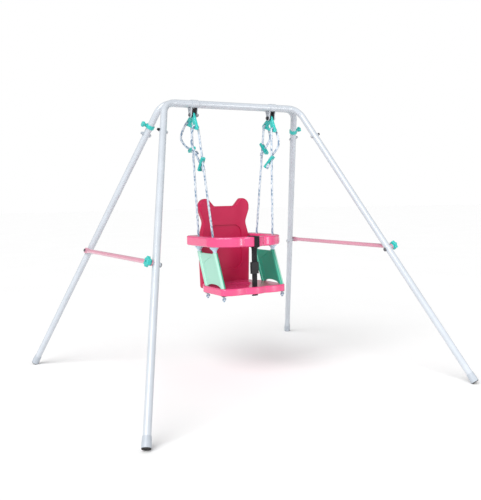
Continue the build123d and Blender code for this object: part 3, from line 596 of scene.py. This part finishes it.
def braided_tube(name, line, r):
    """A rope's tube with its braid's crowns raised and its ends drawn in, and a braid map."""
    def braid_at(i, j):
        turn = BRAID_AROUND * j / ROPE_SEGMENTS
        return turn + i * ROPE_STEP / BRAID_PITCH, turn - i * ROPE_STEP / BRAID_PITCH

    def radius_at(i, j):
        a, b = braid_at(i, j)
        crown = math.sin(math.pi * a) ** 2 * math.sin(math.pi * b) ** 2
        valley = abs(math.sin(math.pi * a) * math.sin(math.pi * b)) ** 0.5
        tip = min(1.0, TIP_SHARE + TIP_GAIN * min(i, len(line) - 1 - i))
        return (r - BRAID_RELIEF * (1 - VALLEY_SHARE * valley - CROWN_SHARE * crown)) * tip

    points, faces = tube_mesh(line, radius_at, ROPE_SEGMENTS)
    made = piece(name, points, faces, MATERIALS["rope"], "swing")
    layer = made.data.uv_layers.new(name="braid")
    for face in made.data.polygons:
        at = [made.data.loops[k].vertex_index for k in face.loop_indices]
        if len(at) != 4:
            continue
        wraps = {v % ROPE_SEGMENTS for v in at} == {0, ROPE_SEGMENTS - 1}
        for k, v in zip(face.loop_indices, at):
            i, j = divmod(v, ROPE_SEGMENTS)
            layer.data[k].uv = braid_at(i, ROPE_SEGMENTS if wraps and j == 0 else j)
    return made


def knot_line(centre, along, size):
    """A trefoil pulled tight: the line of an overhand knot's rope."""
    side = along.orthogonal().normalized()
    up = along.cross(side)
    line = []
    for i in range(KNOT_POINTS + 1):
        t = 2 * math.pi * i / KNOT_POINTS
        x = math.sin(t) + 2 * math.sin(2 * t)
        y = math.cos(t) - 2 * math.cos(2 * t)
        z = -math.sin(3 * t) * KNOT_DEPTH
        line.append(centre + (side * x + up * y + along * z) * size)
    return line


def add_rope(side, end):
    """One rope and the knots at its two ends; returns the knots."""
    line, length = resampled(nurbs_line(rope_route(side, end)), ROPE_STEP)
    name = f"{end}_{side}"
    rope = braided_tube(f"braided_rope_{name}", line, ROPE_R)
    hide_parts(f"rope_{name}")
    knots = []
    reach = round(KNOT_TAIL / ROPE_STEP)
    for where, at, nearby in (("seat", line[reach], line[reach + 3]),
                              ("slack", line[-1 - reach], line[-4 - reach])):
        along = (nearby - at).normalized()
        twist, _ = resampled(knot_line(at, along, KNOT_SIZE[where]), ROPE_STEP)
        knots.append(braided_tube(f"knot_{where}_{name}", twist, KNOT_ROPE_R[where]))
    return knots


# ---- crotch strap --------------------------------------------------------------------

WEB_THICK = 1.6
WEB_STEP = 1.5              # mm between the cross-sections of the webbing's mesh
SOCKET_Z = 474.0
SOCKET_HEIGHT = 36.0
PLUG_BODY = 13.0
STITCH_PITCH = 3.0
STITCH_GAP = 0.14           # share of the pitch that a stitch leaves free at each end
STITCH_HALF = 9.0           # half the width of a sewn box
LOOP_BOX_Z = (RING_Z - 51, RING_Z - 30)
LOOP_BOX_Y = STRAP_Y - 1.5 * WEB_THICK - 0.1     # its thread stands 0.4 mm clear of the ply
TAIL_BOX_Z = (BASE_Z + 49, BASE_Z + 67)
TAIL_BOX_Y = STRAP_Y - WEB_THICK / 2 - 0.05      # its thread lies partly in the ply
# The thread's radius along a stitch, as (share of the stitch, radius in mm).
THREAD_R = ((0, 0.12), (0.15, 0.3), (0.5, 0.36), (0.85, 0.3), (1, 0.12))


def web_outline():
    """Cross-section of the webbing: edges bevelled, slightly hollow beside the middle."""
    half, thin = STRAP_WIDTH / 2, WEB_THICK / 2
    upper = [(half, 0.3), (half - 0.5, thin), (half / 2, thin * 0.92), (0, thin),
             (-half / 2, thin * 0.92), (-half + 0.5, thin), (-half, 0.3)]
    return [(-x, -t) for x, t in upper] + upper


def ribbon(name, corners, body, rounds=3):
    """Webbing that follows (y, z) corners across the middle of the seat."""
    smooth = smooth_line([Vector((0, y, z)) for y, z in corners], rounds)
    line, _ = resampled(smooth, WEB_STEP)
    outline = web_outline()
    count = len(outline)
    points, faces = [], []
    across = Vector((1, 0, 0))
    for i, at in enumerate(line):
        ahead = line[min(i + 1, len(line) - 1)] - line[max(i - 1, 0)]
        face_out = ahead.normalized().cross(across)
        points += [at + across * x + face_out * t for x, t in outline]
    for i in range(len(line) - 1):
        for j in range(count):
            a, b = i * count + j, i * count + (j + 1) % count
            faces.append([b, a, a + count, b + count])
    faces.append(list(range(count)))
    faces.append([(len(line) - 1) * count + j for j in range(count)][::-1])
    made = piece(name, points, faces, MATERIALS["webbing"], body)
    layer = made.data.uv_layers.new(name="weave")
    for face in made.data.polygons:
        for k in face.loop_indices:
            i, j = divmod(made.data.loops[k].vertex_index, count)
            layer.data[k].uv = (outline[j][0], i * WEB_STEP)
    return made


def stitch_box(name, y, z_range, body):
    """A sewn box with a cross in it, as short raised thread stitches."""
    low, high = z_range
    corners = [Vector((sx * STITCH_HALF, y, z)) for sx, z in
               ((-1, low), (1, low), (1, high), (-1, high))]
    runs = [(corners[i], corners[(i + 1) % 4]) for i in range(4)]
    runs += [(corners[0], corners[2]), (corners[1], corners[3])]
    points, faces = [], []
    for a, b in runs:
        count = max(2, round((b - a).length / STITCH_PITCH))
        for k in range(count):
            start = a.lerp(b, (k + STITCH_GAP) / count)
            stop = a.lerp(b, (k + 1 - STITCH_GAP) / count)
            line = [start.lerp(stop, share) for share, _ in THREAD_R]
            more, shapes = tube_mesh(line, lambda i, j: THREAD_R[i][1], 6)
            first = len(points)
            points += more
            faces += [[v + first for v in shape] for shape in shapes]
    return piece(name, points, faces, MATERIALS["thread"], body)


def loop_corners():
    """From the socket up the front ply, round the ring's front bar, down the rear ply."""
    front, rear = RING_FRONT_Y - WEB_THICK, RING_INNER_Y + WEB_THICK
    low, high = RING_Z - WEB_THICK, RING_TOP + WEB_THICK
    gap = WEB_THICK / 2 + 0.1
    front_ply, rear_ply = STRAP_Y - gap, STRAP_Y + gap
    tail = SOCKET_Z + SOCKET_HEIGHT - 6
    ease, under = 6, 8      # from a corner to where the webbing starts to turn
    up = [(front_ply, tail)] + [(front_ply, RING_Z - drop) for drop in (55, 23, 7)]
    around = [(front + under, low), (front, low), (front, low + ease), (front, high - ease),
              (front, high), (front + ease, high), (rear - ease, high), (rear, high),
              (rear, high - ease), (rear, low + ease), (rear, low), (rear - under, low),
              (rear_ply + 4, low)]
    down = [(rear_ply, RING_Z - drop) for drop in (9, 23, 55)] + [(rear_ply, tail)]
    return up + around + down


def tail_corners():
    """From the plug down through the seat base, and folded over twice beneath it."""
    top = SOCKET_Z - PLUG_BODY + 4
    from_base = [(0, 65), (0.4, 35), (0, 15), (0, 1), (0, -2.5), (-5, -2.5), (-5, -5), (5, -5),
                 (5, -7.4), (-4, -7.4)]
    return [(STRAP_Y, top)] + [(STRAP_Y + y, BASE_Z + z) for y, z in from_base]


def add_strap():
    """The webbing's two pieces, which part at the buckle, and the sewn box of each."""
    loop = ribbon("strap_webbing_loop", loop_corners(), "safety_ring")
    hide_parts("strap_loop")
    lower = ribbon("strap_webbing_tail", tail_corners(), "swing", rounds=2)
    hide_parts("strap_tail")
    stitch_box("strap_stitches_loop", LOOP_BOX_Y, LOOP_BOX_Z, "safety_ring")
    stitch_box("strap_stitches_tail", TAIL_BOX_Y, TAIL_BOX_Z, "swing")


# ---- build ---------------------------------------------------------------------------

add_camera()
MATERIALS = make_materials()
all_knots = []
for rope_side in SIDES:
    for rope_end in ENDS:
        all_knots += add_rope(rope_side, rope_end)
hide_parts("rope_knots")
dress_cad_nodes(MATERIALS)
add_strap()
add_studio()
